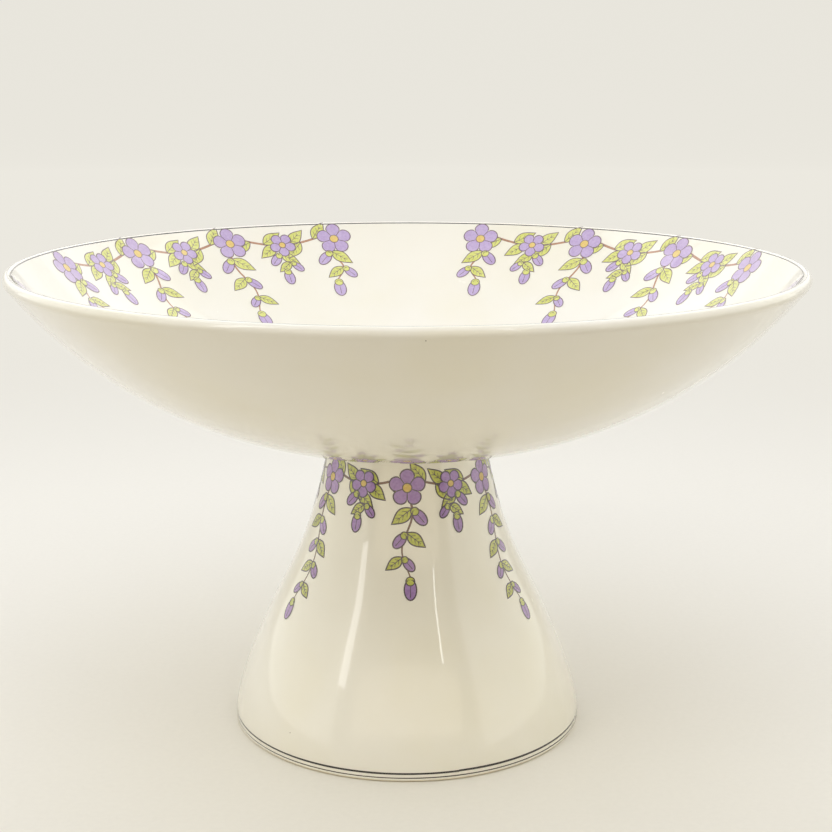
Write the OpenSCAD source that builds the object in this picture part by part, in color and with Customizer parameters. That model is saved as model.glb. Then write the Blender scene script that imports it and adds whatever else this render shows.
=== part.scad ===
// Footed compote bowl: a wide shallow glazed bowl clamped on a hollow bell-shaped
// pedestal by one screw through the middle. The origin is on the table, on the axis,
// and +Z points up. All lengths are in millimetres.

/* [Overall] */
// Diameter over the lip of the bowl
rim_d = 330; // [290:1:370]
// Height from the table to the crest of the lip
overall_h = 200; // [180:1:240]

/* [Bowl] */
// Thickness of the wall at the lip, measured square to the wall
wall_t = 4.8; // [4.4:0.1:7]
// Height of the rounded half of the lip
lip_h = 2.7; // [2.3:0.1:3.4]
// Slope of the wall where it runs into the lip, in degrees
rim_slope = 52.8; // [46:0.2:58]
// Diameter of the level middle of the underside, where the outside arc starts
belly_flat_d = 37.2; // [20:0.2:60]
// Thickness of the bowl over its flat middle
base_t = 7; // [5.5:0.5:10]

/* [Foot ring of the bowl] */
// Outside diameter of the ring that the bowl was fired on
ring_d = 66; // [60:0.5:67]
// Width of the ring
ring_w = 6.5; // [4:0.5:9]
// How far the ring stands below the underside of the bowl
ring_drop = 1.2; // [1:0.1:3]
// Radius of the cove between the ring and the bowl
ring_cove_r = 1; // [0.6:0.1:1.3]
// Radius on the edges of the ring
ring_edge_r = 0.5; // [0.3:0.1:0.8]

/* [Pedestal] */
// Largest diameter of the pedestal, at its foot
foot_d = 151.4; // [130:0.2:175]
// Diameter of the neck, under the bowl
neck_d = 67.8; // [67.2:0.2:76]
// Thickness of the bell's wall
bell_t = 4.8; // [3.6:0.1:6.5]
// Thickness of the deck that closes the neck
deck_t = 7.5; // [5:0.5:11]
// Radius of the fillet between the bell and the underside of the deck
deck_fillet_r = 7; // [3:0.5:10]
// Radius on the edges of the resting ring
foot_edge_r = 1.2; // [0.5:0.1:1.8]
// Radius on the top edge of the neck
neck_edge_r = 0.5; // [0.3:0.1:0.8]
// Height of the upright band at the very foot
foot_band_h = 2.6; // [2:0.1:6]

/* [Bell curve] */
// Slope of the bell at the neck, from the vertical, in degrees
neck_flare = 13.5; // [4:0.5:20]
// Slope of the bell where it turns from hollow to full, in degrees
turn_slope = 27.6; // [22:0.2:34]
// Height of the turn, as a share of the bell's height
turn_height_share = 0.535; // [0.42:0.005:0.6]
// Radius of the turn, from the neck's to the foot's, as a share
turn_radius_share = 0.444; // [0.38:0.002:0.5]
// Pulls of the curve at neck, above turn, below turn and at foot, as shares of its height
pull_shares = [0.1, 0.22, 0.17, 0.11];

/* [Seat] */
// Thickness of the gasket between pedestal and bowl
gasket_t = 0.6; // [0.4:0.1:2]
// How far the gasket stays inside the edges of the ring
gasket_inset = 0.6; // [0.4:0.1:1]
// Room between the top of the centring boss and the bowl
boss_clear = 0.5; // [0.3:0.1:0.8]
// Play between the boss and the inside of the ring
boss_gap = 0.8; // [0.4:0.1:1.2]
// Diameter of the holes that the screw passes through
hole_d = 9; // [8:0.5:10]

/* [Screw and nut] */
// Diameter of the screw
screw_d = 6; // [5:0.5:6.5]
// Length of thread that stands out past the nut
thread_past_nut = 4.1; // [1:0.1:8]
// Diameter of the screw's head
head_d = 12; // [11:0.5:13]
// Depth of the straight cone of the head
head_cone_h = 2.8; // [2.5:0.1:3]
// Height of the dome on the head
head_dome_h = 1.5; // [1:0.1:2]
// Width of the slot in the head
slot_w = 1.6; // [1:0.1:2]
// Depth of the slot in the head, below the dome's top
slot_depth = 1.9; // [1:0.1:2.4]
// Width of the nut across its flats
nut_af = 10; // [9:0.5:13]
// Height of the nut
nut_h = 5; // [4:0.5:6]

/* [Washers] */
// Diameter of the cup washer in the bowl
cup_d = 22; // [19:0.5:26]
// Thickness of the cup washer under the cone of the head
cup_web_t = 0.4; // [0.2:0.1:1.5]
// Height of the straight edge of the cup washer
cup_edge_h = 0.9; // [0.5:0.1:1.4]
// Thickness of the cushion under the cup washer
cup_cushion_t = 1; // [0.6:0.1:2]
// Diameter of the penny washer
penny_d = 25; // [20:1:28]
// Thickness of the penny washer
penny_t = 1.5; // [1:0.1:2]
// Thickness of the cushion between the deck and the penny washer
deck_cushion_t = 1.5; // [1:0.1:2.5]
// Diameter of the spring washer
spring_d = 10.6; // [10:0.2:13]
// Thickness of the spring washer
spring_t = 1.6; // [1:0.1:2]
// Cut in the spring washer, in degrees
spring_cut = 14; // [8:1:24]

/* [Fits] */
// Radial play between the screw and what it is screwed into
thread_gap = 0.05; // [0.02:0.01:0.1]
// Gap between the head's cone and its seat
cone_gap = 0.05; // [0.02:0.01:0.1]
// Radial play between the screw and the washers
washer_gap = 0.25; // [0.1:0.05:0.4]
// How much smaller the cushions are than what they carry, in radius
cushion_inset = 0.5; // [0.2:0.1:1]

/* [Hidden] */
$fn = 96;
// Steps along a long curve, and along a small rounded edge
curve_steps = 36;
edge_steps = 8;
// How far a cut runs past the face that it opens
overrun = 0.5;

rim_r = rim_d / 2;
foot_r = foot_d / 2;
neck_r = neck_d / 2;
ring_r = ring_d / 2;
ring_in_r = ring_r - ring_w;
hole_r = hole_d / 2;
screw_r = screw_d / 2;

// The lip is half an ellipse, as thick across the sloping wall as the wall is
lip_w = sqrt(pow(wall_t / 2, 2) - pow(lip_h * cos(rim_slope), 2)) / sin(rim_slope);
lip_turn = atan(lip_h / (lip_w * tan(rim_slope)));
crest_r = rim_r - lip_w;
lip_z = overall_h - lip_h;
outer_top = [crest_r + lip_w * cos(lip_turn), lip_z - lip_h * sin(lip_turn)];
inner_top = [crest_r - lip_w * cos(lip_turn), lip_z + lip_h * sin(lip_turn)];

// Outside and inside arcs leave the lip at the same slope and end level
belly_flat_r = belly_flat_d / 2;
belly_r = (outer_top[0] - belly_flat_r) / sin(rim_slope);
under_z = outer_top[1] - belly_r * (1 - cos(rim_slope));
floor_z = under_z + base_t;
inner_r = (inner_top[1] - floor_z) / (1 - cos(rim_slope));
well_r = inner_top[0] - inner_r * sin(rim_slope);
function belly_z(r) =
    under_z + belly_r - sqrt(pow(belly_r, 2) - pow(max(0, r - belly_flat_r), 2));

// Heights through the seat, from the bowl's foot ring down
ring_z = under_z - ring_drop;
neck_z = ring_z - gasket_t;
deck_z = neck_z - deck_t;
boss_r = ring_in_r - boss_gap;
boss_z = under_z - boss_clear;

// Heights through the clamp, each piece resting on the one before
cup_z = floor_z + cup_cushion_t;
cup_h = head_cone_h + cup_web_t;
cup_top_z = cup_z + cup_h;
penny_z = deck_z - deck_cushion_t - penny_t;
spring_z = penny_z - spring_t;
nut_z = spring_z - nut_h;
screw_tip_z = nut_z - thread_past_nut;

// Outline tools. Every outline is a list of [radius, height]
function arc(centre, r, a0, a1, steps) =
    [for (i = [0:steps]) let (a = a0 + (a1 - a0) * i / steps) centre + r * [cos(a), sin(a)]];
function ellipse(centre, rx, rz, a0, a1, steps) =
    [for (i = [0:steps]) let (a = a0 + (a1 - a0) * i / steps) centre + [rx * cos(a), rz * sin(a)]];
function bez(p, s) = pow(1 - s, 3) * p[0] + 3 * pow(1 - s, 2) * s * p[1]
    + 3 * (1 - s) * s * s * p[2] + pow(s, 3) * p[3];
function bez_way(p, s) = pow(1 - s, 2) * (p[1] - p[0]) + 2 * (1 - s) * s * (p[2] - p[1])
    + s * s * (p[3] - p[2]);
function unit(v) = v / norm(v);
// A curve set in by t towards the axis, square to its own run downwards
function inset(p, t, s) = let (w = unit(bez_way(p, s))) bez(p, s) + t * [w[1], -w[0]];

// The bell: an upper hollow curve and a lower full one that share the slope at the turn
bell_h = neck_z - neck_edge_r;
turn = [neck_r + (foot_r - neck_r) * turn_radius_share, bell_h * turn_height_share];
turn_way = [sin(turn_slope), -cos(turn_slope)];
neck_way = [sin(neck_flare), -cos(neck_flare)];
upper_bell = [
    [neck_r, bell_h],
    [neck_r, bell_h] + bell_h * pull_shares[0] * neck_way,
    turn - bell_h * pull_shares[1] * turn_way,
    turn
];
lower_bell = [
    turn,
    turn + bell_h * pull_shares[2] * turn_way,
    [foot_r, foot_band_h + bell_h * pull_shares[3]],
    [foot_r, foot_band_h]
];

module bowl() {
    cove = ring_r + ring_cove_r;
    color([0.98, 0.97, 0.93])
    rotate_extrude()
    polygon(concat(
        [[hole_r, floor_z]],
        arc([well_r, floor_z + inner_r], inner_r, -90, rim_slope - 90, curve_steps),
        ellipse([crest_r, lip_z], lip_w, lip_h, 180 - lip_turn, -lip_turn, 2 * edge_steps),
        [for (i = [1:curve_steps])
            let (r = outer_top[0] + (cove - outer_top[0]) * i / curve_steps)
            [r, belly_z(r)]],
        arc([cove, belly_z(cove) - ring_cove_r], ring_cove_r, 100, 180, edge_steps),
        arc([ring_r - ring_edge_r, ring_z + ring_edge_r], ring_edge_r, 0, -90, edge_steps),
        arc([ring_in_r + ring_edge_r, ring_z + ring_edge_r], ring_edge_r, -90, -180, edge_steps),
        [[ring_in_r, under_z], [hole_r, under_z]]
    ));
}

module pedestal() {
    fillet_top = deck_z - deck_fillet_r * (1 - sin(neck_flare));
    inner = concat(
        [for (i = [0:curve_steps]) inset(lower_bell, bell_t, 1 - i / curve_steps)],
        [for (i = [1:curve_steps]) inset(upper_bell, bell_t, 1 - i / curve_steps)]
    );
    below_deck = [for (p = inner) if (p[1] < fillet_top) p];
    last = below_deck[len(below_deck) - 1];
    fillet_c = [last[0] - deck_fillet_r * cos(neck_flare), deck_z - deck_fillet_r];
    color([0.97, 0.96, 0.91])
    rotate_extrude()
    polygon(concat(
        [[hole_r, boss_z]],
        arc([boss_r - neck_edge_r, boss_z - neck_edge_r], neck_edge_r, 90, 0, edge_steps),
        [[boss_r, neck_z]],
        arc([neck_r - neck_edge_r, bell_h], neck_edge_r, 90, 0, edge_steps),
        [for (i = [1:curve_steps]) bez(upper_bell, i / curve_steps)],
        [for (i = [1:curve_steps]) bez(lower_bell, i / curve_steps)],
        arc([foot_r - foot_edge_r, foot_edge_r], foot_edge_r, 0, -90, edge_steps),
        arc([foot_r - bell_t + foot_edge_r, foot_edge_r], foot_edge_r, -90, -180, edge_steps),
        below_deck,
        arc(fillet_c, deck_fillet_r, neck_flare, 90, edge_steps),
        [[hole_r, deck_z]]
    ));
}

// A flat ring with slightly broken edges, standing on z
module flat_ring(outer_r, bore_r, z, t) {
    b = t / 6;
    translate([0, 0, z])
    rotate_extrude()
    polygon([
        [bore_r, 0], [outer_r - b, 0], [outer_r, b],
        [outer_r, t - b], [outer_r - b, t], [bore_r, t]
    ]);
}

module seat_gasket() {
    color([0.86, 0.86, 0.83])
    flat_ring(ring_r - gasket_inset, ring_in_r + gasket_inset, neck_z, gasket_t);
}

module cup_cushion() {
    color([0.16, 0.16, 0.16])
    flat_ring(cup_d / 2 - cushion_inset, screw_r + washer_gap, floor_z, cup_cushion_t);
}

module cup_washer() {
    // A cone seat for the head, then a land, then a round shoulder to the edge
    land = (cup_d - head_d) / 12;
    bore = screw_r + washer_gap;
    seat_r = head_d / 2 + cone_gap;
    drop = head_cone_h * (seat_r - bore) / (head_d / 2 - screw_r);
    shoulder_r = cup_d / 2 - seat_r - land;
    color([0.80, 0.80, 0.80])
    translate([0, 0, cup_z])
    rotate_extrude()
    polygon(concat(
        [[bore, 0], [cup_d / 2, 0]],
        ellipse([cup_d / 2 - shoulder_r, cup_edge_h], shoulder_r, cup_h - cup_edge_h, 0, 90, edge_steps),
        [[seat_r, cup_h], [bore, cup_h - drop]]
    ));
}

module clamp_screw() {
    dome_r = (pow(head_d / 2, 2) + pow(head_dome_h, 2)) / (2 * head_dome_h);
    dome_a = asin(head_d / 2 / dome_r);
    dome_z = cup_top_z + head_dome_h;
    tip = screw_d / 8;
    color([0.78, 0.78, 0.79])
    difference() {
        rotate_extrude()
        polygon(concat(
            [[0, screw_tip_z], [screw_r - tip, screw_tip_z], [screw_r, screw_tip_z + tip]],
            [[screw_r, cup_top_z - head_cone_h]],
            arc([0, dome_z - dome_r], dome_r, 90 - dome_a, 90, edge_steps)
        ));
        translate([-head_d / 2, -slot_w / 2, dome_z - slot_depth])
        cube([head_d, slot_w, slot_depth + overrun]);
    }
}

module deck_cushion() {
    color([0.16, 0.16, 0.16])
    flat_ring(penny_d / 2 - cushion_inset, screw_r + washer_gap, deck_z - deck_cushion_t, deck_cushion_t);
}

module penny_washer() {
    color([0.72, 0.73, 0.74])
    flat_ring(penny_d / 2, screw_r + washer_gap, penny_z, penny_t);
}

module spring_washer() {
    color([0.62, 0.63, 0.64])
    translate([0, 0, spring_z])
    rotate([0, 0, spring_cut / 2])
    rotate_extrude(angle = 360 - spring_cut)
    translate([screw_r + washer_gap, 0])
    square([spring_d / 2 - screw_r - washer_gap, spring_t]);
}

module hex_nut() {
    // A hexagon whose corners are turned back to a cone at both faces
    corner_r = nut_af / 2 / cos(30);
    face_r = nut_af / 2;
    back = (corner_r - face_r) * tan(30);
    color([0.74, 0.75, 0.76])
    translate([0, 0, nut_z])
    difference() {
        intersection() {
            linear_extrude(nut_h)
            circle(r = corner_r, $fn = 6);
            rotate_extrude()
            polygon([
                [0, 0], [face_r, 0], [corner_r, back],
                [corner_r, nut_h - back], [face_r, nut_h], [0, nut_h]
            ]);
        }
        translate([0, 0, -overrun])
        cylinder(r = screw_r + thread_gap, h = nut_h + 2 * overrun);
    }
}

bowl();
pedestal();
seat_gasket();
cup_cushion();
cup_washer();
clamp_screw();
deck_cushion();
penny_washer();
spring_washer();
hex_nut();
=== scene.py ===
"""The looks of a footed compote bowl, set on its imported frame, in metres and with +Z up."""
import bisect
import math

import bmesh
import bpy
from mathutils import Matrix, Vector, noise


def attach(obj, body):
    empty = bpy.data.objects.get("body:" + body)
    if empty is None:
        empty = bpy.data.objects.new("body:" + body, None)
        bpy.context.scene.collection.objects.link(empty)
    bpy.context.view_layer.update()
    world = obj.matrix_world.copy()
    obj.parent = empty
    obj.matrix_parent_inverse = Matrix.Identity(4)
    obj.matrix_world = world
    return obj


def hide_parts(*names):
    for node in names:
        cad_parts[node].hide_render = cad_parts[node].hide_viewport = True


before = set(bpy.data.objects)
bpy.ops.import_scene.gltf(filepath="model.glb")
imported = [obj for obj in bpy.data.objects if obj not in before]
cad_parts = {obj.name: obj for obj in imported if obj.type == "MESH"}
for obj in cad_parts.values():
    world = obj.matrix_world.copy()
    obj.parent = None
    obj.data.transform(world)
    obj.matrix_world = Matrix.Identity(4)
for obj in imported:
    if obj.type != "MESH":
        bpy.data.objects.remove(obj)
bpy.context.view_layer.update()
MM = 0.001

# The pedestal: a hollow bell of white earthenware, cast in a mould and closed under the bowl by a
# thick deck. A low boss on the deck centres the bowl. It is glazed inside and out, and the ring
# that it stands on is wiped bare before firing.
foot_r, foot_band_h, foot_edge_r = 75.7 * MM, 2.6 * MM, 1.2 * MM
neck_r, neck_z, neck_edge_r = 33.9 * MM, 121.284 * MM, 0.5 * MM
boss_r, boss_z, hole_r = 25.7 * MM, 122.584 * MM, 4.5 * MM
deck_z, deck_fillet_r, bell_t = 113.784 * MM, 7 * MM, 4.8 * MM
bell_h = neck_z - neck_edge_r
neck_flare, turn_slope = math.radians(13.5), math.radians(27.6)
turn_out, turn_up = 0.444, 0.535
neck_pull, pull_above, pull_below, foot_pull = (share * bell_h for share in (0.1, 0.22, 0.17, 0.11))
turn = Vector((neck_r + turn_out * (foot_r - neck_r), turn_up * bell_h))


def downward(slope):
    """The way that a wall runs down when it leans out by a slope."""
    return Vector((math.sin(slope), -math.cos(slope)))


upper_bell = [
    Vector((neck_r, bell_h)),
    Vector((neck_r, bell_h)) + neck_pull * downward(neck_flare),
    turn - pull_above * downward(turn_slope),
    turn,
]
lower_bell = [
    turn,
    turn + pull_below * downward(turn_slope),
    Vector((foot_r, foot_band_h + foot_pull)),
    Vector((foot_r, foot_band_h)),
]


def bent(pulls, share, inset=0):
    """A point on a curve with two pulls, set in towards the axis by inset."""
    a, b, c, d = pulls
    rest = 1 - share
    point = rest**3 * a + 3 * rest**2 * share * b + 3 * rest * share**2 * c + share**3 * d
    run = rest**2 * (b - a) + 2 * rest * share * (c - b) + share**2 * (d - c)
    run.normalize()
    return point + inset * Vector((run.y, -run.x))


def arc(centre, radius, start, end, steps=8, height=None):
    """Points round a centre, between two angles in degrees. An oval has its own height."""
    turns = [math.radians(start + (end - start) * i / steps) for i in range(steps + 1)]
    x, y, up = *centre, height or radius
    return [Vector((x + radius * math.cos(a), y + up * math.sin(a))) for a in turns]


BELL_STEPS = 48
bell_face = [bent(upper_bell, i / BELL_STEPS) for i in range(BELL_STEPS)]
bell_face += [bent(lower_bell, i / BELL_STEPS) for i in range(BELL_STEPS + 1)]
bell_inside = [bent(lower_bell, 1 - i / BELL_STEPS, bell_t) for i in range(BELL_STEPS)]
bell_inside += [bent(upper_bell, 1 - i / BELL_STEPS, bell_t) for i in range(BELL_STEPS + 1)]
fillet_top = deck_z - deck_fillet_r * (1 - math.sin(neck_flare))
bell_inside = [p for p in bell_inside if p.y < fillet_top]
fillet_x = bell_inside[-1].x - deck_fillet_r * math.cos(neck_flare)
pedestal_outline = (
    [Vector((hole_r, boss_z))]
    + arc((boss_r - neck_edge_r, boss_z - neck_edge_r), neck_edge_r, 90, 0)
    + [Vector((boss_r, neck_z))]
    + arc((neck_r - neck_edge_r, bell_h), neck_edge_r, 90, 0)[:-1]
    + bell_face
    + arc((foot_r - foot_edge_r, foot_edge_r), foot_edge_r, 0, -90)
    + arc((foot_r - bell_t + foot_edge_r, foot_edge_r), foot_edge_r, -90, -180)
    + bell_inside
    + arc((fillet_x, deck_z - deck_fillet_r), deck_fillet_r, math.degrees(neck_flare), 90)
    + [Vector((hole_r, deck_z))]
)


SLOW_WAVE, SHORT_WAVE, SET_IN = 0.03 * MM, 0.006 * MM, 0.07 * MM


def swell(point):
    """How far the glaze stands out: slow waves, all a hair inside the piece's full size."""
    return SLOW_WAVE * noise.noise(point * 27) + SHORT_WAVE * noise.noise(point * 110) - SET_IN


def turned(name, outline, steps, glazed=False, closed=True):
    """A piece turned on the axis, from a list of (radius, height) or a function of the angle."""
    rows = [outline(math.tau * i / steps) if callable(outline) else outline for i in range(steps)]
    count = len(rows[0])
    points, faces = [], []
    for i, row in enumerate(rows):
        side, front = math.sin(math.tau * i / steps), -math.cos(math.tau * i / steps)
        points += [(r * side, r * front, z) for r, z in row]
        for k in range(count if closed else count - 1):
            corners = (i, k), (i, k + 1), (i + 1, k + 1), (i + 1, k)
            faces.append([a % steps * count + b % count for a, b in corners])
    mesh = bpy.data.meshes.new(name)
    mesh.from_pydata(points, [], faces)
    made = bmesh.new()
    made.from_mesh(mesh)
    bmesh.ops.remove_doubles(made, verts=made.verts, dist=0.0001 * MM)
    bmesh.ops.recalc_face_normals(made, faces=made.faces)
    if glazed:
        made.normal_update()
        for v in made.verts:
            v.co += v.normal * swell(v.co)
    made.to_mesh(mesh)
    made.free()
    return shown(name, mesh)


def shown(name, mesh, sharp=35):
    """Puts a mesh in the scene, smooth but for its sharp edges."""
    mesh.shade_smooth()
    mesh.set_sharp_from_angle(angle=math.radians(sharp))
    piece = bpy.data.objects.new(name, mesh)
    bpy.context.scene.collection.objects.link(piece)
    return piece


def dye(red, green, blue):
    """A colour as a shader takes it, from the 0 to 255 that a screen shows."""
    screen = (red / 255, green / 255, blue / 255)
    light = [c / 12.92 if c <= 0.04045 else ((c + 0.055) / 1.055) ** 2.4 for c in screen]
    return (*light, 1)


class Wire:
    """What a node gives out. Sums written with it become Math nodes."""

    def __init__(self, finish, socket):
        self.finish, self.socket = finish, socket

    def reckon(self, operation, *values):
        return self.finish.node("Math", {"operation": operation}, dict(enumerate(values)))

    def __add__(self, other):
        return self.reckon("ADD", self, other)

    def __sub__(self, other):
        return self.reckon("SUBTRACT", self, other)

    def __rsub__(self, other):
        return self.reckon("SUBTRACT", other, self)

    def __mul__(self, other):
        return self.reckon("MULTIPLY", self, other)

    def __pow__(self, other):
        return self.reckon("POWER", self, other)

    __radd__ = __add__
    __rmul__ = __mul__


class Finish:
    """A material round one Principled shader. The constants are set on the shader's own sockets."""

    def __init__(self, name, **constants):
        self.material = bpy.data.materials.new(name)
        self.material.use_nodes = True
        self.tree = self.material.node_tree
        self.shader = self.tree.nodes["Principled BSDF"]
        for key, value in constants.items():
            self.shader.inputs[key.replace("_", " ")].default_value = value
        self.at = self.node("TexCoord", out="Object")

    def node(self, kind, settings=None, inputs=None, out=0):
        """A node of any kind: its settings first, then the values or wires of its sockets."""
        made = self.tree.nodes.new("ShaderNode" + kind)
        for key, value in (settings or {}).items():
            setattr(made, key, value)
        for key, value in (inputs or {}).items():
            if isinstance(value, Wire):
                self.tree.links.new(value.socket, made.inputs[key])
            else:
                made.inputs[key].default_value = value
        return Wire(self, made.outputs[out])

    def along(self, axis):
        """How far along X, Y or Z a place is, in metres."""
        return self.node("SeparateXYZ", inputs={0: self.at}, out=axis)

    def cloud(self, scale, detail=2, at=None):
        """Soft noise from 0 to 1, with scale counted per metre."""
        sockets = {"Vector": at or self.at, "Scale": scale, "Detail": detail}
        return self.node("TexNoise", inputs=sockets)

    def rise(self, value, low, high):
        """0 below low, 1 above high, and smooth between."""
        ends = {"Value": value, "From Min": low, "From Max": high}
        return self.node("MapRange", {"interpolation_type": "SMOOTHSTEP"}, ends)

    def mix(self, share, first, second):
        """A colour between two, by a share from 0 to 1."""
        return self.node("Mix", {"data_type": "RGBA"}, {0: share, 6: first, 7: second}, out=2)

    def bump(self, height, depth, strength=1):
        """A normal roughened by a height from 0 to 1."""
        return self.node("Bump", inputs={"Strength": strength, "Distance": depth, "Height": height})

    def wear(self, **wires):
        """Joins wires to the shader's sockets."""
        for key, wire in wires.items():
            self.tree.links.new(wire.socket, self.shader.inputs[key.replace("_", " ")])


GLASSY = {"Coat_Weight": 1, "Coat_Roughness": 0.025, "Coat_IOR": 1.5, "Specular_IOR_Level": 0.4}
PINHOLES, PINHOLE_IN, PINHOLE_OUT = 42, 0.008, 0.013


def glaze(name, bare_top):
    """Clear glaze on a cream body, thin enough to show it, and bare clay below a height."""
    made = Finish(name, **GLASSY)
    ragged = made.along("Z") + 0.5 * MM * made.cloud(160)
    bare = 1 - made.rise(ragged, bare_top, bare_top + 0.3 * MM)
    pooled = made.rise(made.cloud(16, 3), 0.38, 0.68)
    cream = made.mix(pooled, dye(247, 243, 230), dye(245, 240, 222))
    # Iron in the clay burns through as a pinhead here and there
    spots = made.node("TexVoronoi", inputs={"Vector": made.at, "Scale": PINHOLES})
    iron = 1 - made.rise(spots, PINHOLE_IN, PINHOLE_OUT)
    cream = made.mix(iron * 0.75, cream, dye(112, 88, 58))
    grog = made.cloud(1400, 3)
    clay = made.mix(grog, dye(214, 199, 168), dye(236, 226, 203))
    made.wear(
        Base_Color=made.mix(bare, cream, clay),
        Roughness=0.2 + 0.1 * made.cloud(60, 3) + 0.5 * bare,
        Coat_Weight=1 - bare,
        Normal=made.bump(made.cloud(420, 2) * 0.3 + bare * grog, 0.02 * MM, 0.5),
    )
    return made


def seat(piece, finish, slot, *nodes):
    """Gives a piece its finish and puts it in the place of CAD nodes. The slot is not used."""
    piece.data.materials.append(finish.material)
    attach(piece, "root")
    if nodes:
        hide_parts(*nodes)


pedestal_glaze = glaze("pedestal_glaze", bare_top=0.9 * MM)
pedestal_bell = turned("pedestal_bell", pedestal_outline, 192, glazed=True)
seat(pedestal_bell, pedestal_glaze, "pedestal_glaze", "pedestal")


# The foot's two black bands: drawn with a loaded brush on a turning wheel, the wide one first. Each
# line swells a little as it goes round, and its end steps past its start where the brush came off.
class Skin:
    """One face of a turned piece, seen flat: an angle from the front, and a way down it."""

    def __init__(self, outline, side):
        self.points, self.side, self.downs = outline, side, [0]
        for above, below in zip(outline, outline[1:]):
            self.downs.append(self.downs[-1] + (below - above).length)

    def spot(self, down):
        """The outline's point so far down, and the way that its face looks."""
        k = min(max(bisect.bisect(self.downs, down) - 1, 0), len(self.points) - 2)
        run = (self.points[k + 1] - self.points[k]).normalized()
        return self.points[k] + (down - self.downs[k]) * run, self.side * Vector((-run.y, run.x))

    def radius(self, down):
        return self.spot(down)[0].x

    def at(self, angle, down, lift):
        """The place in space, lifted off the glaze, and the way that the face looks there."""
        point, face = self.spot(down)
        side, front = math.sin(angle), -math.cos(angle)
        look = Vector((face.x * side, face.x * front, face.y))
        place = Vector((point.x * side, point.x * front, point.y))
        return place + (lift + swell(place)) * look, look


class Print:
    """Colour on one face. Each ink gathers its shapes in one skin, a hair proud of the glaze."""

    def __init__(self, skin):
        self.skin, self.inks = skin, {}

    def lay(self, ink, spots, faces, lift):
        """Adds faces between spots, which are (angle, way down), all of them facing out."""
        points, shapes = self.inks.setdefault(ink, ([], []))
        first = len(points)
        placed = [self.skin.at(angle, down, lift) for angle, down in spots]
        points += [place for place, look in placed]
        for face in faces:
            (a, look), (b, _), (c, _) = (placed[k] for k in face[:3])
            outward = (b - a).cross(c - b).dot(look) > 0
            shapes.append([first + k for k in (face if outward else reversed(face))])

    def band(self, ink, down, width, lift, start, step):
        """A line right round, whose end stands a step below its start."""
        spots, count = [], 288
        for i in range(count + 1):
            angle = math.tau * i / count
            middle = down + step * i / count
            half = width / 2 * (1 + 0.14 * math.sin(angle + 1) + 0.06 * math.sin(7 * angle))
            spots += [(start + angle, middle - half), (start + angle, middle + half)]
        self.lay(ink, spots, [(k, k + 1, k + 3, k + 2) for k in range(0, 2 * count, 2)], lift)

    def pull(self, prefix, slot, finishes):
        """Makes one piece of each ink."""
        for ink, (points, shapes) in self.inks.items():
            mesh = bpy.data.meshes.new(prefix + ink)
            mesh.from_pydata(points, [], shapes)
            seat(shown(prefix + ink, mesh), finishes[ink], slot)


def enamel(name, deep, pale, grain=900):
    """Ink sunk in the glaze: two shades of one wash, as shiny as the glaze round it."""
    made = Finish(name, **GLASSY)
    wash = made.rise(0.6 * made.cloud(grain, 2) + 0.4 * made.cloud(110, 1), 0.3, 0.7)
    made.wear(Base_Color=made.mix(wash, deep, pale), Roughness=0.22 + 0.1 * made.cloud(60, 3))
    return made


BAND_LIFT, lower_foot_z = 0.03 * MM, 20 * MM
wide_w, wide_up, fine_w, fine_down = 0.75 * MM, 1.27 * MM, 0.42 * MM, 0.66 * MM
lower_foot = [p for p in bell_face if p.y < lower_foot_z]
rounding = arc((foot_r - foot_edge_r, foot_edge_r), foot_edge_r, 0, -60)
foot_skin = Skin(lower_foot + rounding, 1)
ring_ends = foot_skin.downs[len(lower_foot) - 1]
foot_lines = Print(foot_skin)
foot_lines.band("wide", ring_ends - wide_up, wide_w, BAND_LIFT, start=0.28, step=0.16 * MM)
foot_lines.band("fine", ring_ends + fine_down, fine_w, BAND_LIFT, start=0.9, step=0.05 * MM)
band_black = enamel("band_black", dye(30, 24, 28), dye(48, 40, 42))
foot_lines.pull("foot_band_", "pedestal_glaze", {"wide": band_black, "fine": band_black})


# The print round the neck: a festoon of round five-petalled flowers, almond leaves and oval buds,
# drawn in dark line and washed in by hand. Long and short drops hang from it in turn, the same all
# the way round.
STEM_LIFT, LEAF_LIFT, BLOOM_LIFT, LINE_GAP = 0.03 * MM, 0.06 * MM, 0.1 * MM, 0.02 * MM
DROP_LEAF, SWAG_LEAF = (8.6 * MM, 4.3 * MM), (8.2 * MM, 4.2 * MM)
DROP_BUD, END_BUD = (6.2 * MM, 3.7 * MM), (7.4 * MM, 4.4 * MM)
STEM_ROOT, STEM_TIP, SWAG_STEM, JOINT_GAP, SWAY = 0.75 * MM, 0.4 * MM, 0.8 * MM, 7.6 * MM, 1.6 * MM


def almond(length, width, count=12):
    """A leaf's outline, from its stalk down to its tip."""
    side = []
    for k in range(count + 1):
        way = k / count
        side.append(Vector((width / 2 * math.sin(math.pi * way**0.8) ** 1.15, length * way)))
    return side + [Vector((-p.x, p.y)) for p in reversed(side[1:-1])]


def petals(radius, count=70):
    """A flower's outline, with five round petals."""
    turns = [math.tau * k / count for k in range(count)]
    reach = [radius * (0.6 + 0.4 * abs(math.sin(2.5 * a)) ** 0.6) for a in turns]
    return [Vector((r * math.sin(a), r * math.cos(a))) for r, a in zip(reach, turns)]


def oval(length, width, down=0, count=24):
    """An oval outline, that starts at its top."""
    turns = [math.tau * k / count for k in range(count)]
    return [Vector((width / 2 * math.sin(a), down + length / 2 * (1 - math.cos(a)))) for a in turns]


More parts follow.
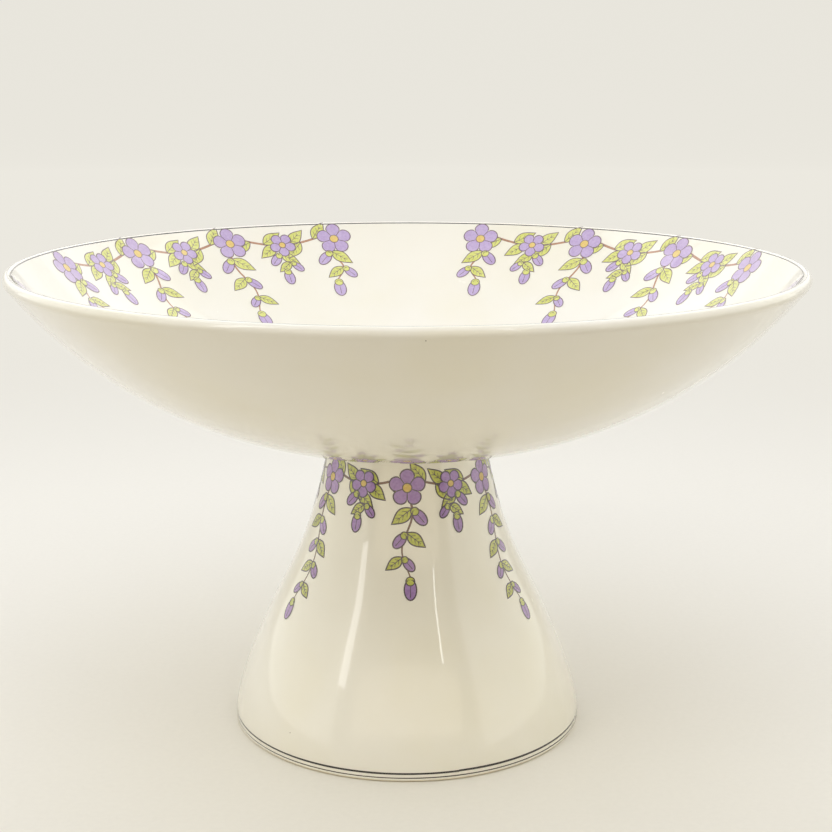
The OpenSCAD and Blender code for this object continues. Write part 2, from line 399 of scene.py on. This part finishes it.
class Festoon(Print):
    """A printed garland. A place on it is an angle, a way down and a tilt in degrees."""

    def __init__(self, skin, pen):
        super().__init__(skin)
        self.pen = pen

    def spots(self, place, points):
        """Flat points set down at a place, as angles and ways down."""
        angle, down, tilt = place
        cos, sin = math.cos(math.radians(tilt)), math.sin(math.radians(tilt))
        flat = [(p.x * cos - p.y * sin, down + p.x * sin + p.y * cos) for p in points]
        return [(angle + across / self.skin.radius(depth), depth) for across, depth in flat]

    def wash(self, ink, place, outline, lift, rings=3):
        """A spot of colour that fills a closed outline."""
        middle, count = sum(outline, Vector((0, 0))) / len(outline), len(outline)
        points = [middle]
        for k in range(1, rings + 1):
            points += [middle + (p - middle) * k / rings for p in outline]
        faces = [(0, 1 + i, 1 + (i + 1) % count) for i in range(count)]
        for k in range(rings - 1):
            for i in range(count):
                here, there = 1 + k * count + i, 1 + k * count + (i + 1) % count
                faces.append((here, here + count, there + count, there))
        self.lay(ink, self.spots(place, points), faces, lift)

    def draw(self, ink, place, path, lift, width=None, closed=False):
        """A drawn line. Its width may run from one value to another."""
        start, end = width if isinstance(width, tuple) else (width or self.pen,) * 2
        last, points = len(path) - 1, []
        for k, point in enumerate(path):
            before = path[k - 1] if closed or k else point
            after = path[(k + 1) % len(path)] if closed or k < last else point
            run = (after - before).normalized()
            half = (start + (end - start) * k / last) / 2 * Vector((-run.y, run.x))
            points += [point - half, point + half]
        if closed:
            points += points[:2]
        faces = [(k, k + 1, k + 3, k + 2) for k in range(0, len(points) - 2, 2)]
        self.lay(ink, self.spots(place, points), faces, lift)

    def rim_line(self, place, edge):
        """A finer line round a small shape that lies on a flower or bud."""
        self.draw("line", place, edge, BLOOM_LIFT + 2 * LINE_GAP, width=self.pen * 0.8, closed=True)

    def leaf(self, place, length, width):
        """A washed leaf with its rib and side veins."""
        edge = almond(length, width)
        self.wash("lime", place, edge, LEAF_LIFT)
        self.draw("line", place, edge, LEAF_LIFT + LINE_GAP, closed=True)
        rib, fine = [Vector((0, length * k / 8)) for k in range(7)], self.pen * 0.3
        self.draw("line", place, rib, LEAF_LIFT + LINE_GAP, width=(self.pen * 0.8, fine))
        for root in (0.22, 0.42, 0.6):
            for side in (-1, 1):
                tip = Vector((side * width * (0.34 - 0.2 * root), length * (root + 0.14)))
                vein = [Vector((0, length * root)), tip]
                self.draw("line", place, vein, LEAF_LIFT + LINE_GAP, width=(self.pen * 0.6, fine))

    def flower(self, place, radius):
        """A flower with its petals parted by short lines, and a round eye."""
        edge = petals(radius)
        self.wash("lilac", place, edge, BLOOM_LIFT, rings=4)
        self.draw("line", place, edge, BLOOM_LIFT + LINE_GAP, closed=True)
        for k in range(5):
            part = Vector((math.sin(math.tau * k / 5), math.cos(math.tau * k / 5)))
            crease, taper = [part * radius * 0.26, part * radius * 0.58], (self.pen * 0.6, self.pen)
            self.draw("line", place, crease, BLOOM_LIFT + LINE_GAP, width=taper)
        eye = oval(radius * 0.5, radius * 0.5, down=-radius * 0.25)
        self.wash("ochre", place, eye, BLOOM_LIFT + LINE_GAP, rings=2)
        self.rim_line(place, eye)

    def bud(self, place, length, width):
        """A closed bud in its green cup."""
        edge = oval(length, width, down=length * 0.12)
        self.wash("lilac", place, edge, BLOOM_LIFT)
        self.draw("line", place, edge, BLOOM_LIFT + LINE_GAP, closed=True)
        slit = [Vector((0, length * share)) for share in (0.45, 0.6, 0.8, 0.98)]
        taper = (self.pen * 0.4, self.pen * 0.7)
        self.draw("line", place, slit, BLOOM_LIFT + LINE_GAP, width=taper)
        cup = oval(length * 0.42, width * 0.72)
        self.wash("lime", place, cup, BLOOM_LIFT + LINE_GAP, rings=2)
        self.rim_line(place, cup)

    def drop(self, angle, down, length, size, lean):
        """A hanging sprig: a swaying stem, leaves and buds by turns, and a bud at its end."""
        count = max(2, round(length / (JOINT_GAP * size)))
        sway = SWAY * size * lean

        def stem(way):
            return Vector((sway * math.sin(math.pi * 2.2 * way), length * way))

        path = [stem(k / 24) for k in range(25)]
        taper = (STEM_ROOT * size, STEM_TIP * size)
        self.draw("stem", (angle, down, 0), path, STEM_LIFT, width=taper)
        for k in range(count):
            way = (k + 0.6) / (count + 0.4)
            joint, side = stem(way), lean * (1 if k % 2 else -1)
            scale = size * (1 - 0.3 * way)
            place = (angle + joint.x / self.skin.radius(down + joint.y), down + joint.y)
            self.leaf((*place, -52 * side), *(v * scale for v in DROP_LEAF))
            self.bud((*place, 40 * side), *(v * scale for v in DROP_BUD))
        tip = stem(1)
        end = (angle + tip.x / self.skin.radius(down + tip.y), down + tip.y)
        self.bud((*end, 0), *(v * size * 0.85 for v in END_BUD))

    def swag(self, start, end, down, sag, size):
        """A stem that sags between two angles, with leaves above and below it."""
        def stem(way):
            return start + (end - start) * way, down + sag * math.sin(math.pi * way)

        spots = [stem(k / 30) for k in range(31)]
        middle = (start + end) / 2
        path = [Vector(((a - middle) * self.skin.radius(d), d - down)) for a, d in spots]
        self.draw("stem", (middle, down, 0), path, STEM_LIFT, width=SWAG_STEM * size)
        for k, way in enumerate((0.2, 0.32, 0.44, 0.56, 0.68, 0.8)):
            lean = 24 * (1 - 2 * way)
            for side in (-1, 1):
                tilt = -90 * side + (40 if k % 2 else -40) * side + lean
                if k % 2 == (side > 0):
                    self.leaf((*stem(way), tilt), *(v * size for v in SWAG_LEAF))


neck = Festoon(Skin(bell_face, 1), pen=0.54 * MM)
long_drop, short_drop, half_way = 52 * MM, 34 * MM, math.radians(30)
for degrees in range(0, 360, 60):
    angle, side = math.radians(degrees), 1 if degrees < 180 else -1
    length = long_drop if degrees % 120 else short_drop
    neck.swag(angle, angle + 2 * half_way, down=5 * MM, sag=4 * MM, size=1.25)
    neck.drop(angle, down=12 * MM, length=length, size=1.35, lean=side)
    neck.drop(angle + half_way, down=10 * MM, length=11 * MM, size=1.2, lean=side)
    neck.flower((angle, 9.6 * MM, 0), radius=7.6 * MM)
    neck.flower((angle + half_way, 9 * MM, 36), radius=5.8 * MM)
neck.pull(
    "neck_print_",
    "pedestal_glaze",
    {
        "stem": enamel("neck_stem", dye(98, 70, 52), dye(124, 90, 66)),
        "lime": enamel("neck_lime", dye(176, 180, 56), dye(201, 203, 84)),
        "lilac": enamel("neck_lilac", dye(146, 106, 170), dye(171, 133, 192)),
        "ochre": enamel("neck_ochre", dye(206, 168, 62), dye(222, 190, 90)),
        "line": enamel("neck_line", dye(58, 40, 44), dye(76, 56, 56)),
    },
)

# The gasket: a flat ring of soft clear silicone between the neck and the bowl's foot ring. It takes
# up what the two fired faces lack in flatness, and the clamp squeezes its edges a little round.
ring_r, ring_in_r, ring_z, gasket_inset = 33 * MM, 26.5 * MM, 121.884 * MM, 0.6 * MM
gasket_mid = (neck_z + ring_z) / 2
gasket_half = (ring_z - neck_z) / 2
gasket_outline = arc((ring_r - gasket_inset - gasket_half, gasket_mid), gasket_half, 90, -90)
gasket_outline += arc((ring_in_r + gasket_inset + gasket_half, gasket_mid), gasket_half, -90, -270)
silicone = Finish("clear_silicone", Specular_IOR_Level=0.4, Coat_Weight=0.2, Coat_Roughness=0.3)
silicone.wear(
    Base_Color=silicone.mix(silicone.cloud(300), dye(226, 226, 219), dye(208, 208, 200)),
    Roughness=0.42 + 0.12 * silicone.cloud(900, 3),
    Normal=silicone.bump(silicone.cloud(2500, 3), 0.01 * MM),
)
seat(turned("gasket_ring", gasket_outline, 128), silicone, "gasket_silicone", "seat_gasket")

# The bowl: jiggered on a mould in the same white earthenware, one even wall from a thick middle out
# to a rounded lip. It was fired standing on the ring that now drops over the pedestal's boss.
rim_slope, inner_r, belly_r = 52.8, 174.643 * MM, 183.057 * MM
floor_z, under_z, well_r, belly_flat_r = 130.083 * MM, 123.083 * MM, 22.064 * MM, 18.6 * MM
crest_r, lip_z, lip_w, lip_h, lip_turn = 162.791 * MM, 197.3 * MM, 2.209 * MM, 2.7 * MM, 42.857
ring_cove_r, ring_edge_r, bowl_steps = 1 * MM, 0.5 * MM, 84


def belly(radius):
    """The bowl's outside, as an outline's point at a radius."""
    out = max(0, radius - belly_flat_r)
    return Vector((radius, under_z + belly_r - math.sqrt(belly_r**2 - out**2)))


cove_r = ring_r + ring_cove_r
outer_top_r = crest_r + lip_w * math.cos(math.radians(lip_turn))
wall_run = cove_r - outer_top_r
bowl_inside = arc((well_r, floor_z + inner_r), inner_r, -90, rim_slope - 90, bowl_steps)
bowl_outline = (
    [Vector((hole_r, floor_z))]
    + bowl_inside[:-1]
    + arc((crest_r, lip_z), lip_w, 180 - lip_turn, -lip_turn, 28, lip_h)
    + [belly(outer_top_r + wall_run * i / bowl_steps) for i in range(1, bowl_steps + 1)]
    + arc((cove_r, belly(cove_r).y - ring_cove_r), ring_cove_r, 100, 180)
    + arc((ring_r - ring_edge_r, ring_z + ring_edge_r), ring_edge_r, 0, -90)
    + arc((ring_in_r + ring_edge_r, ring_z + ring_edge_r), ring_edge_r, -90, -180)
    + [Vector((ring_in_r, under_z)), Vector((hole_r, under_z))]
)
bowl_glaze = glaze("bowl_glaze", bare_top=ring_z + 0.4 * MM)
seat(turned("bowl_shell", bowl_outline, 288, glazed=True), bowl_glaze, "bowl_glaze", "bowl")

# The rim's two hair lines and the festoons under them, on the inside of the bowl: four sprays with
# a bare gap between them, each four flowers wide, washed as on the neck but in thinner colour.
rim_top = arc((crest_r, lip_z), lip_w, 75, 180 - lip_turn, 16, lip_h)
rim_skin = Skin(rim_top + list(reversed(bowl_inside))[1:], -1)
rim_lines = Print(rim_skin)
outer_down, outer_w, inner_down, inner_w = 0.48 * MM, 0.38 * MM, 2.2 * MM, 0.48 * MM
rim_lines.band("outer", outer_down, outer_w, BAND_LIFT, start=2.2, step=0.06 * MM)
rim_lines.band("inner", inner_down, inner_w, BAND_LIFT, start=3.8, step=0.1 * MM)
line_grey = enamel("line_grey", dye(96, 88, 84), dye(124, 114, 106))
rim_lines.pull("rim_line_", "bowl_glaze", {"outer": line_grey, "inner": band_black})

spray_half, blooms, inner_drop, outer_drop = math.radians(31), 4, 42 * MM, 24 * MM
apart = 2 * spray_half / (blooms - 1)
rim = Festoon(rim_skin, pen=0.45 * MM)
for quarter in (45, 135, 225, 315):
    for k in range(blooms):
        angle = math.radians(quarter) - spray_half + k * apart
        side = 1 if k < blooms / 2 else -1
        length = inner_drop if k in (1, 2) else outer_drop
        rim.drop(angle, down=13 * MM, length=length, size=1.6, lean=side)
        rim.flower((angle, 11.4 * MM, 0), radius=9 * MM)
        if k < blooms - 1:
            rim.swag(angle, angle + apart, down=7 * MM, sag=7 * MM, size=1.5)
            rim.drop(angle + apart / 2, down=16 * MM, length=13 * MM, size=1.4, lean=side)
            rim.flower((angle + apart / 2, 14 * MM, 36), radius=6.8 * MM)
rim.pull(
    "rim_print_",
    "bowl_glaze",
    {
        "stem": enamel("rim_stem", dye(170, 122, 90), dye(192, 146, 112)),
        "lime": enamel("rim_lime", dye(212, 214, 96), dye(226, 228, 128)),
        "lilac": enamel("rim_lilac", dye(184, 158, 206), dye(201, 180, 219)),
        "ochre": enamel("rim_ochre", dye(226, 190, 92), dye(236, 208, 120)),
        "line": enamel("rim_line", dye(104, 82, 88), dye(128, 106, 108)),
    },
)

# The cushion in the bowl: a ring punched from sheet rubber, black and dusty, with its edges rounded
# by the punch. It lies under the cup washer and keeps the metal off the glaze.
screw_r, washer_gap = 3 * MM, 0.25 * MM
clear_r = screw_r + washer_gap
cushion_t, cushion_r, cushion_edge_r = 1 * MM, 10.5 * MM, 0.25 * MM


def punched(bore, outer, bottom, thick, edge):
    """The outline of a flat ring with its edges rounded."""
    top, points = bottom + thick, []
    points += arc((outer - edge, bottom + edge), edge, -90, 0, 4)
    points += arc((outer - edge, top - edge), edge, 0, 90, 4)
    points += arc((bore + edge, top - edge), edge, 90, 180, 4)
    return points + arc((bore + edge, bottom + edge), edge, 180, 270, 4)


rubber = Finish("black_rubber", Specular_IOR_Level=0.35)
rubber_grain = rubber.cloud(1800, 4)
dusty = rubber.rise(rubber.cloud(150, 4), 0.5, 0.75)
rubber.wear(
    Base_Color=rubber.mix(dusty, dye(34, 33, 34), dye(62, 60, 58)),
    Roughness=0.62 + 0.2 * rubber_grain,
    Normal=rubber.bump(rubber_grain, 0.03 * MM),
)
cup_cushion_outline = punched(clear_r, cushion_r, floor_z, cushion_t, cushion_edge_r)
seat(turned("cup_cushion_ring", cup_cushion_outline, 96), rubber, "cushion_rubber", "cup_cushion")

# The cup washer: turned from brass bar and plated bright. A cone takes the screw's head, and a
# round shoulder runs down to a thin edge. The tool's rings still show in the plating.
cup_z, cup_top_z, cup_r, cup_edge_h = 131.084 * MM, 134.284 * MM, 11 * MM, 0.9 * MM
cup_foot_r, cup_lip_r, cone_gap = 0.2 * MM, 0.15 * MM, 0.05 * MM
head_r, head_cone_h, head_dome_h = 6 * MM, 2.8 * MM, 1.5 * MM
cup_seat_r = head_r + cone_gap
cup_drop = head_cone_h * (cup_seat_r - clear_r) / (head_r - screw_r)
cup_land = (cup_r - head_r) / 6
shoulder_r, shoulder_h = cup_r - cup_seat_r - cup_land, cup_top_z - cup_z - cup_edge_h
cup_outline = (
    [Vector((clear_r, cup_z))]
    + arc((cup_r - cup_foot_r, cup_z + cup_foot_r), cup_foot_r, -90, 0, 4)
    + arc((cup_r - shoulder_r, cup_z + cup_edge_h), shoulder_r, 0, 90, 16, shoulder_h)
    + arc((cup_seat_r + cup_lip_r, cup_top_z - cup_lip_r), cup_lip_r, 90, 150, 4)
    + [Vector((clear_r, cup_top_z - cup_drop))]
)


def lathed_metal(name, bright, dull, rough, rings):
    """Metal with the fine rings of a lathe in it, dulled in slow patches and lightly scratched."""
    made = Finish(name, Metallic=1)
    x, y, z = (made.along(axis) for axis in "XYZ")
    from_axis = (x * x + y * y) ** 0.5
    ringed = made.node("CombineXYZ", inputs={0: from_axis * rings, 1: z * rings})
    tool = made.cloud(1, 3, at=ringed)
    haze = made.rise(made.cloud(260, 4), 0.42, 0.7)
    streaks = made.node("TexNoise", inputs={"Vector": made.at, "Scale": 900, "Distortion": 2.5})
    scratched = made.rise(streaks, 0.58, 0.64)
    made.wear(
        Base_Color=made.mix(haze, bright, dull),
        Roughness=rough + 0.14 * haze + 0.1 * tool + 0.08 * scratched,
        Normal=made.bump(tool + 0.25 * scratched, 0.008 * MM),
    )
    return made


bright_plate = lathed_metal("bright_plate", dye(232, 230, 226), dye(206, 202, 194), 0.1, 3500)
seat(turned("cup_washer_turned", cup_outline, 128), bright_plate, "bright_metal", "cup_washer")

# The clamp screw: a 6 mm machine screw with a raised, slotted, countersunk head, plated like its
# washer. The thread is rolled, 1 mm to the turn, and runs out at the tip and short of the head.
tip_z, pitch, root_r, core_r, crest_gap = 100.084 * MM, 1 * MM, 2.42 * MM, 2.45 * MM, 0.02 * MM
tip_gap, thread_gap, shank_h, head_edge = 0.05 * MM, 2 * MM, 1.2 * MM, 0.08 * MM
slot_w, slot_depth = 1.6 * MM, 1.9 * MM
dome_r = (head_r**2 + head_dome_h**2) / (2 * head_dome_h)
dome_edge = math.degrees(math.asin(head_r / dome_r))
head_foot_z = cup_top_z - head_cone_h
screw_outline = [
    Vector((0, tip_z + tip_gap)),
    Vector((core_r, tip_z + tip_gap)),
    Vector((core_r, head_foot_z - thread_gap)),
    Vector((screw_r, head_foot_z - shank_h)),
    Vector((screw_r, head_foot_z)),
    Vector((head_r - head_edge, cup_top_z - head_edge)),
] + arc((0, cup_top_z + head_dome_h - dome_r), dome_r, 90 - dome_edge, 90, 24)
screw = turned("screw_slotted", screw_outline, 96, closed=False)


def carve(piece, width, depth, height, centre):
    """Takes a box out of a piece."""
    box = bmesh.new()
    bmesh.ops.create_cube(box, size=1)
    for v in box.verts:
        v.co = Vector(centre) + Vector((v.co.x * width, v.co.y * depth, v.co.z * height))
    tool = bpy.data.objects.new("carver", bpy.data.meshes.new("carver"))
    box.to_mesh(tool.data)
    box.free()
    bpy.context.scene.collection.objects.link(tool)
    cut = piece.modifiers.new("slot", "BOOLEAN")
    cut.object, cut.operation, cut.solver = tool, "DIFFERENCE", "EXACT"
    bpy.context.view_layer.update()
    solved = piece.evaluated_get(bpy.context.evaluated_depsgraph_get())
    carved = bpy.data.meshes.new_from_object(solved)
    piece.modifiers.clear()
    piece.data = carved
    bpy.data.objects.remove(tool)


def thread(piece, root, crest, bottom, top, pitch, sharp=28):
    """Winds a V thread round a piece, run out at both ends."""
    profile, around = ((0, 0), (0.36, 1), (0.5, 1), (0.86, 0)), 36
    winds = round((top - bottom) / pitch * around)
    points, faces = [], []
    for i in range(winds + 1):
        angle, start = math.tau * i / around, bottom + pitch * i / around
        fade = min(1, i / around, (winds - i) / around)
        for way, height in profile:
            radius = root + (crest - root) * height * fade
            points.append((radius * math.cos(angle), radius * math.sin(angle), start + pitch * way))
    for i in range(winds):
        for k in range(3):
            faces.append((4 * i + k, 4 * i + 4 + k, 4 * i + 5 + k, 4 * i + 1 + k))
        if i + around < winds:
            faces.append((4 * i + 3, 4 * i + 7, 4 * (i + around + 1), 4 * (i + around)))
    wound = bmesh.new()
    wound.from_mesh(piece.data)
    corners = [wound.verts.new(p) for p in points]
    for face in faces:
        wound.faces.new([corners[k] for k in face])
    wound.to_mesh(piece.data)
    wound.free()
    piece.data.shade_smooth()
    piece.data.set_sharp_from_angle(angle=math.radians(sharp))


carve(screw, 3 * head_r, slot_w, 2 * slot_depth, (0, 0, cup_top_z + head_dome_h))
thread(screw, root_r, screw_r - crest_gap, tip_z, head_foot_z - thread_gap, pitch)
seat(screw, bright_plate, "bright_metal", "clamp_screw")

# Under the deck, from the top down: a rubber cushion, a wide penny washer and a split spring
# washer. The washers are stamped from sheet and coiled from wire, and plated with dull zinc.
penny_z, penny_t, penny_r, penny_edge_r = 110.784 * MM, 1.5 * MM, 12.5 * MM, 0.22 * MM
deck_cushion_z, deck_cushion_inset, deck_edge_r = penny_z + penny_t, 0.5 * MM, 0.35 * MM
deck_cushion_r, deck_cushion_t = penny_r - deck_cushion_inset, deck_z - penny_z - penny_t
spring_z, spring_t, spring_r, spring_edge_r = 109.184 * MM, 1.6 * MM, 5.3 * MM, 0.18 * MM
spring_cut, spring_steps = math.radians(14), 72
deck_outline = punched(clear_r, deck_cushion_r, deck_cushion_z, deck_cushion_t, deck_edge_r)
seat(turned("deck_cushion_ring", deck_outline, 96), rubber, "cushion_rubber", "deck_cushion")


def zinc(name, grain):
    """Zinc plate: grey, faintly blue and straw in patches, with white bloom here and there."""
    made = Finish(name, Metallic=1)
    patch = made.rise(made.cloud(90, 3), 0.35, 0.7)
    bloom = made.rise(made.cloud(700, 4), 0.6, 0.78)
    plate = made.mix(patch, dye(186, 189, 194), dye(196, 191, 172))
    fine = made.cloud(grain, 4)
    made.wear(
        Base_Color=made.mix(bloom * 0.5, plate, dye(214, 214, 210)),
        Roughness=0.3 + 0.16 * fine + 0.22 * bloom,
        Normal=made.bump(fine + 0.5 * bloom, 0.015 * MM),
    )
    return made


zinc_plate = zinc("zinc_plate", 1500)
penny_outline = punched(clear_r, penny_r, penny_z, penny_t, penny_edge_r)
seat(turned("penny_washer_stamped", penny_outline, 96), zinc_plate, "zinc_steel", "penny_washer")

spring_outline = punched(clear_r, spring_r, spring_z, spring_t, spring_edge_r)
spring = bmesh.new()
coil = []
for i in range(spring_steps + 1):
    angle = spring_cut / 2 + (math.tau - spring_cut) * i / spring_steps
    cos, sin = math.cos(angle), math.sin(angle)
    coil.append([spring.verts.new((p.x * cos, p.x * sin, p.y)) for p in spring_outline])
for here, there in zip(coil, coil[1:]):
    for k in range(len(here)):
        spring.faces.new((here[k - 1], here[k], there[k], there[k - 1]))
spring.faces.new(coil[0])
spring.faces.new(reversed(coil[-1]))
bmesh.ops.recalc_face_normals(spring, faces=spring.faces)
spring_mesh = bpy.data.meshes.new("spring_washer_split")
spring.to_mesh(spring_mesh)
spring.free()
seat(shown("spring_washer_split", spring_mesh), zinc_plate, "zinc_steel", "spring_washer")

# The nut: cold formed to a hexagon from steel, turned back to a cone at both faces and tapped with
# a bevelled mouth, then zinc plated with the washers. It draws the whole stack tight from below.
nut_z, nut_h, nut_half, nut_soft = 104.184 * MM, 5 * MM, 5 * MM, 0.12 * MM
nut_bore, mouth, nut_corner = screw_r + 0.05 * MM, 0.45 * MM, math.radians(30)


def nut_side(angle):
    """The nut's outline at an angle: its corners fall back further than its flats."""
    from_flat = angle - math.radians(60) * round(angle / math.radians(60))
    reach = nut_half / math.cos(from_flat)
    back = (reach - nut_half) * math.tan(nut_corner)
    top, soft = nut_z + nut_h, nut_soft
    return [
        Vector((nut_bore, nut_z + mouth)),
        Vector((nut_bore + mouth, nut_z)),
        Vector((nut_half - soft, nut_z)),
        Vector((nut_half - soft / 4, nut_z + soft / 4)),
        Vector((reach - soft / 3, nut_z + back + soft / 2)),
        Vector((reach, nut_z + back + 2 * soft)),
        Vector((reach, top - back - 2 * soft)),
        Vector((reach - soft / 3, top - back - soft / 2)),
        Vector((nut_half - soft / 4, top - soft / 4)),
        Vector((nut_half - soft, top)),
        Vector((nut_bore + mouth, top)),
        Vector((nut_bore, top - mouth)),
    ]


seat(turned("nut_formed", nut_side, 144), zinc_plate, "zinc_steel", "hex_nut")

# The stage: pale paper laid out round the bowl and curved up into a wall, white about the foot and
# greying outwards. The grey is painted shade: it stands in for the studio's dim surroundings and
# darkens the light that the paper throws back onto the bowl. Near the foot it is lit and takes the
# shadow. Far off, the camera and the glaze see one even tone.
floor_r, sweep_r, wall_h, white_back = 3.5, 0.9, 5, 0.7
white_r, grey_r, lit_r, even_r = 0.75, 1.35, 0.35, 1.1
sweep = [Vector((0, 0)), Vector((floor_r, 0))]
sweep += arc((floor_r, sweep_r), sweep_r, -90, 0, 24)[1:] + [Vector((floor_r + sweep_r, wall_h))]
paper = turned("paper_sweep", sweep, 96, closed=False)
paper_finish = Finish("pale_paper", Specular_IOR_Level=0.1, Emission_Strength=1)
x, y = (paper_finish.along(axis) for axis in "XY")
# Painted shade: the paper greys away from the foot to stand in for the studio's dim side, so less
# light bounces onto the bowl
far = paper_finish.rise((x * x + (y - white_back) ** 2) ** 0.5, white_r, grey_r)
pulp = paper_finish.cloud(400, 2)
white = paper_finish.mix(pulp, dye(239, 236, 227), dye(244, 241, 232))
grey = paper_finish.mix(pulp, dye(168, 159, 142), dye(174, 165, 148))
kinds = "Is Camera Ray", "Is Glossy Ray", "Is Transmission Ray"
seen, mirrored, through = (paper_finish.node("LightPath", out=kind) for kind in kinds)
even = (seen + mirrored + through) * paper_finish.rise((x * x + y * y) ** 0.5, lit_r, even_r)
none = dye(0, 0, 0)
paper_finish.wear(
    Base_Color=paper_finish.mix(even, paper_finish.mix(far, white, grey), none),
    Emission_Color=paper_finish.mix(even, none, dye(232, 229, 220)),
    Roughness=0.75 + 0.1 * pulp,
)
paper.data.materials.append(paper_finish.material)


def soft_box(name, width, height, watts, place, aim, tint=(1, 1, 1)):
    """A rectangular lamp that faces a point."""
    lamp = bpy.data.lights.new(name, "AREA")
    lamp.shape, lamp.size, lamp.size_y = "RECTANGLE", width, height
    lamp.energy, lamp.color = watts, tint
    box = bpy.data.objects.new(name, lamp)
    box.location = place
    box.rotation_euler = (Vector(aim) - Vector(place)).to_track_quat("-Z", "Y").to_euler()
    bpy.context.scene.collection.objects.link(box)


# Plain soft light: a wide box overhead, a tall bank of three across the back, a large box and a
# small high one each side, dim ones in front, and two strips for the foot's long highlights.
soft_box("overhead", 2.4, 2.4, 16.7, (0, 0, 1.7), (0, 0, 0.15), tint=(0.95, 1, 1.12))
soft_box("front_high", 2.0, 0.36, 3.5, (0, -1.0, 1.38), (0, 0, 0.1))
soft_box("front_low", 2.4, 0.5, 2.9, (0, -1.6, 0.55), (0, 0, 0.1), tint=(1, 0.88, 0.65))
soft_box("left_side", 5.0, 2.3, 28.5, (-2.9, 0.05, 1.17), (0, 0.05, 1.17), tint=(0.98, 1, 0.95))
soft_box("right_side", 5.0, 2.3, 28.5, (2.9, 0.05, 1.17), (0, 0.05, 1.17), tint=(0.98, 1, 0.95))
soft_box("left_top", 2.0, 0.5, 3.1, (-1.05, 0, 1.35), (0, 0, 0.1))
soft_box("right_top", 2.0, 0.5, 3.1, (1.05, 0, 1.35), (0, 0, 0.1))
soft_box("back_low", 4.2, 0.5, 2.7, (0, 1.9, 0.63), (0, 0, 0.63))
soft_box("back_middle", 4.2, 0.4, 3.6, (0, 1.9, 1.08), (0, 0, 1.08), tint=(1, 1, 1.05))
soft_box("back_high", 4.2, 1.3, 17, (0, 1.9, 1.93), (0, 0, 1.93), tint=(0.99, 1, 1.1))
soft_box("left_strip", 0.16, 1.0, 1.9, (-0.97, -0.87, 0.95), (0, 0, 0.06))
soft_box("right_strip", 0.03, 0.6, 0.4, (0.56, -1.05, 0.9), (0, 0, 0.06))
air = bpy.data.worlds.new("studio_air")
air.use_nodes = True
sky = air.node_tree.nodes["Background"]
sky.inputs["Color"].default_value = (1, 0.94, 0.82, 1)
sky.inputs["Strength"].default_value = 0.28
bpy.context.scene.world = air

# The camera stands where the photograph's did: 0.66 m in front of the bowl's axis, a little above
# the rim, and looks 13 degrees down. Its small shift sideways frames the bowl as there.
stand, look_down, sideways, focal, sensor = (0, -0.6555, 0.2836), 12.91, 0.0106, 67.9, 36
lens = bpy.data.cameras.new("camera")
lens.sensor_width, lens.lens, lens.shift_x = sensor, focal, sideways
lens.clip_start = 0.01
camera = bpy.data.objects.new("camera", lens)
camera.location = stand
camera.rotation_euler = (math.radians(90 - look_down), 0, 0)
bpy.context.scene.collection.objects.link(camera)
bpy.context.scene.camera = camera
bpy.context.scene.view_settings.view_transform = "Standard"

bpy.context.view_layer.update()
